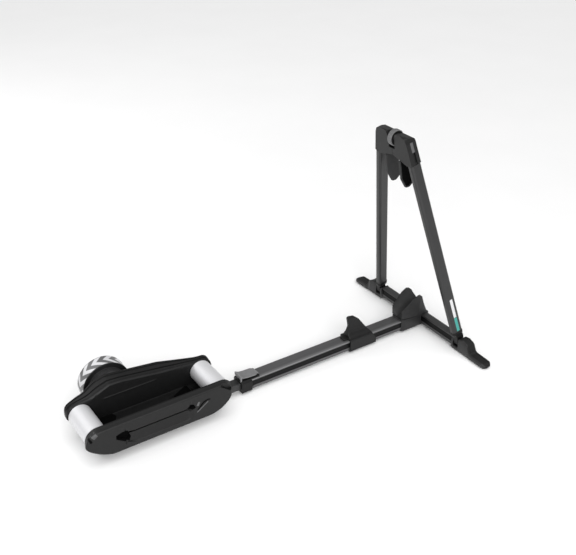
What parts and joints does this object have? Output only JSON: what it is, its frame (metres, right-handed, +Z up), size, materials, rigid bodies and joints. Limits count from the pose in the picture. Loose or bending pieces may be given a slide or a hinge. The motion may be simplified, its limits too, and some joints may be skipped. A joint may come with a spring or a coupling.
{
  "type": "wheel-on smart trainer",
  "caption": "Indoor bicycle trainer: rollers with a flywheel and brake under the rear wheel, a telescopic spine with tyre chocks, and a folding A-frame that clamps the front tyre.",
  "frame": {"origin": "centre of the overall box, on the floor", "axes": "+X from the rear rollers to the front crossbar, +Y towards the flywheel side, +Z up"},
  "size_m": [1.428, 0.764, 0.8258],
  "materials": {
    "plate_metal": "satin black",
    "pan_plastic": "matte black",
    "casing_plastic": "fine texture, black",
    "rubber": "matte black",
    "board": "solder mask",
    "roller_metal": "fine turned",
    "steel": "machined",
    "black_alloy": "black anodised",
    "flywheel_metal": "turned, with a printed chevron band",
    "stator": "laminated core with enamelled windings",
    "inlet_plastic": "moulded",
    "light_window": "clear window",
    "glide_plastic": "slick",
    "grey_plastic": "fine texture, grey"
  },
  "bodies": {
    "base_unit": {"base_chassis": "plate_metal", "floor_pan": "pan_plastic", "near_side_plate": "plate_metal", "far_side_plate": "plate_metal", "near_casing_cover": "casing_plastic", "belt_case_cover": "casing_plastic", "rear_near_rubber_foot": "rubber", "rear_far_rubber_foot": "rubber", "front_near_rubber_foot": "rubber", "front_far_rubber_foot": "rubber", "circuit_board": "board", "rear_near_bearing": "steel", "rear_far_bearing": "steel", "front_near_bearing": "steel", "front_far_bearing": "steel", "drive_belt": "rubber", "idler_pin": "steel", "flywheel_inner_bearing": "steel", "flywheel_outer_bearing": "steel", "brake_housing": "casing_plastic", "brake_stator": "stator", "power_inlet": "inlet_plastic", "status_light": "light_window", "inner_tube": "black_alloy", "inner_tube_glide": "glide_plastic"},
    "rear_roller_set": {"rear_roller": "roller_metal", "rear_axle": "steel", "rear_pulley": "black_alloy"},
    "front_roller_set": {"front_roller": "roller_metal", "front_axle": "steel", "front_pulley": "black_alloy"},
    "flywheel_set": {"flywheel": "flywheel_metal", "flywheel_shaft": "steel", "flywheel_pulley": "black_alloy", "flywheel_nut": "steel"},
    "idler": {"idler_pulley": "steel"},
    "front_frame": {"outer_tube": "black_alloy", "outer_tube_glide": "glide_plastic", "clamp_shoe": "steel", "spine_collar": "casing_plastic", "lever_pin": "steel", "junction_cover": "casing_plastic", "crossbar": "black_alloy", "near_foot": "casing_plastic", "far_foot": "casing_plastic", "near_foot_sole": "rubber", "far_foot_sole": "rubber", "near_hinge_pin": "steel", "far_hinge_pin": "steel"},
    "spine_lever": {"cam_lever": "grey_plastic"},
    "wheel_chock": {"small_chock": "casing_plastic"},
    "a_frame": {"near_leg": "black_alloy", "far_leg": "black_alloy", "near_apex_bracket": "casing_plastic", "far_apex_bracket": "casing_plastic"},
    "clamp_screw": {"clamp_thumbwheel": "grey_plastic", "clamp_spindle": "steel"},
    "near_jaw": {"near_clamp_pad": "rubber"},
    "far_jaw": {"far_clamp_pad": "rubber"}
  },
  "joints": [
    {"name": "flywheel_spin", "type": "hinge", "parent": "base_unit", "child": "flywheel_set", "pos_m": [-0.53458, 0, 0.109], "axis": [0, 1, 0], "continuous": true},
    {"name": "rear_roller_spin", "type": "hinge", "parent": "base_unit", "child": "rear_roller_set", "pos_m": [-0.66458, 0, 0.094], "axis": [0, 1, 0], "continuous": true},
    {"name": "front_roller_spin", "type": "hinge", "parent": "base_unit", "child": "front_roller_set", "pos_m": [-0.22978, 0, 0.094], "axis": [0, 1, 0], "continuous": true},
    {"name": "idler_spin", "type": "hinge", "parent": "base_unit", "child": "idler", "pos_m": [-0.51058, 0, 0.095], "axis": [0, 1, 0], "continuous": true},
    {"name": "spine_length", "type": "slide", "parent": "base_unit", "child": "front_frame", "axis": [1, 0, 0], "range_m": [0, 0.3]},
    {"name": "spine_lever_lift", "type": "hinge", "parent": "front_frame", "child": "spine_lever", "pos_m": [-0.05208, 0, 0.0565], "axis": [0, 1, 0], "range_deg": [0, 100]},
    {"name": "chock_position", "type": "slide", "parent": "front_frame", "child": "wheel_chock", "axis": [-1, 0, 0], "range_m": [-0.1, 0.25]},
    {"name": "a_frame_fold", "type": "hinge", "parent": "front_frame", "child": "a_frame", "pos_m": [0.68992, 0, 0.036], "axis": [0, -1, 0], "range_deg": [0, 66]},
    {"name": "clamp_screw_turn", "type": "hinge", "parent": "a_frame", "child": "clamp_screw", "pos_m": [0.51812, 0, 0.79685], "axis": [0, 1, 0], "range_deg": [0, 1800]},
    {"name": "near_jaw_travel", "type": "slide", "parent": "a_frame", "child": "near_jaw", "axis": [0, 1, 0], "range_m": [0, 0.02]},
    {"name": "far_jaw_travel", "type": "slide", "parent": "a_frame", "child": "far_jaw", "axis": [0, -1, 0], "range_m": [0, 0.02]}
  ],
  "couplings": [
    {"joint": "rear_roller_spin", "follows": "flywheel_spin", "ratio": 0.46768},
    {"joint": "front_roller_spin", "follows": "flywheel_spin", "ratio": 0.46768},
    {"joint": "idler_spin", "follows": "flywheel_spin", "ratio": -1.1942},
    {"joint": "near_jaw_travel", "follows": "clamp_screw_turn", "m_per_rad": 0.00063662},
    {"joint": "far_jaw_travel", "follows": "clamp_screw_turn", "m_per_rad": 0.00063662}
  ]
}
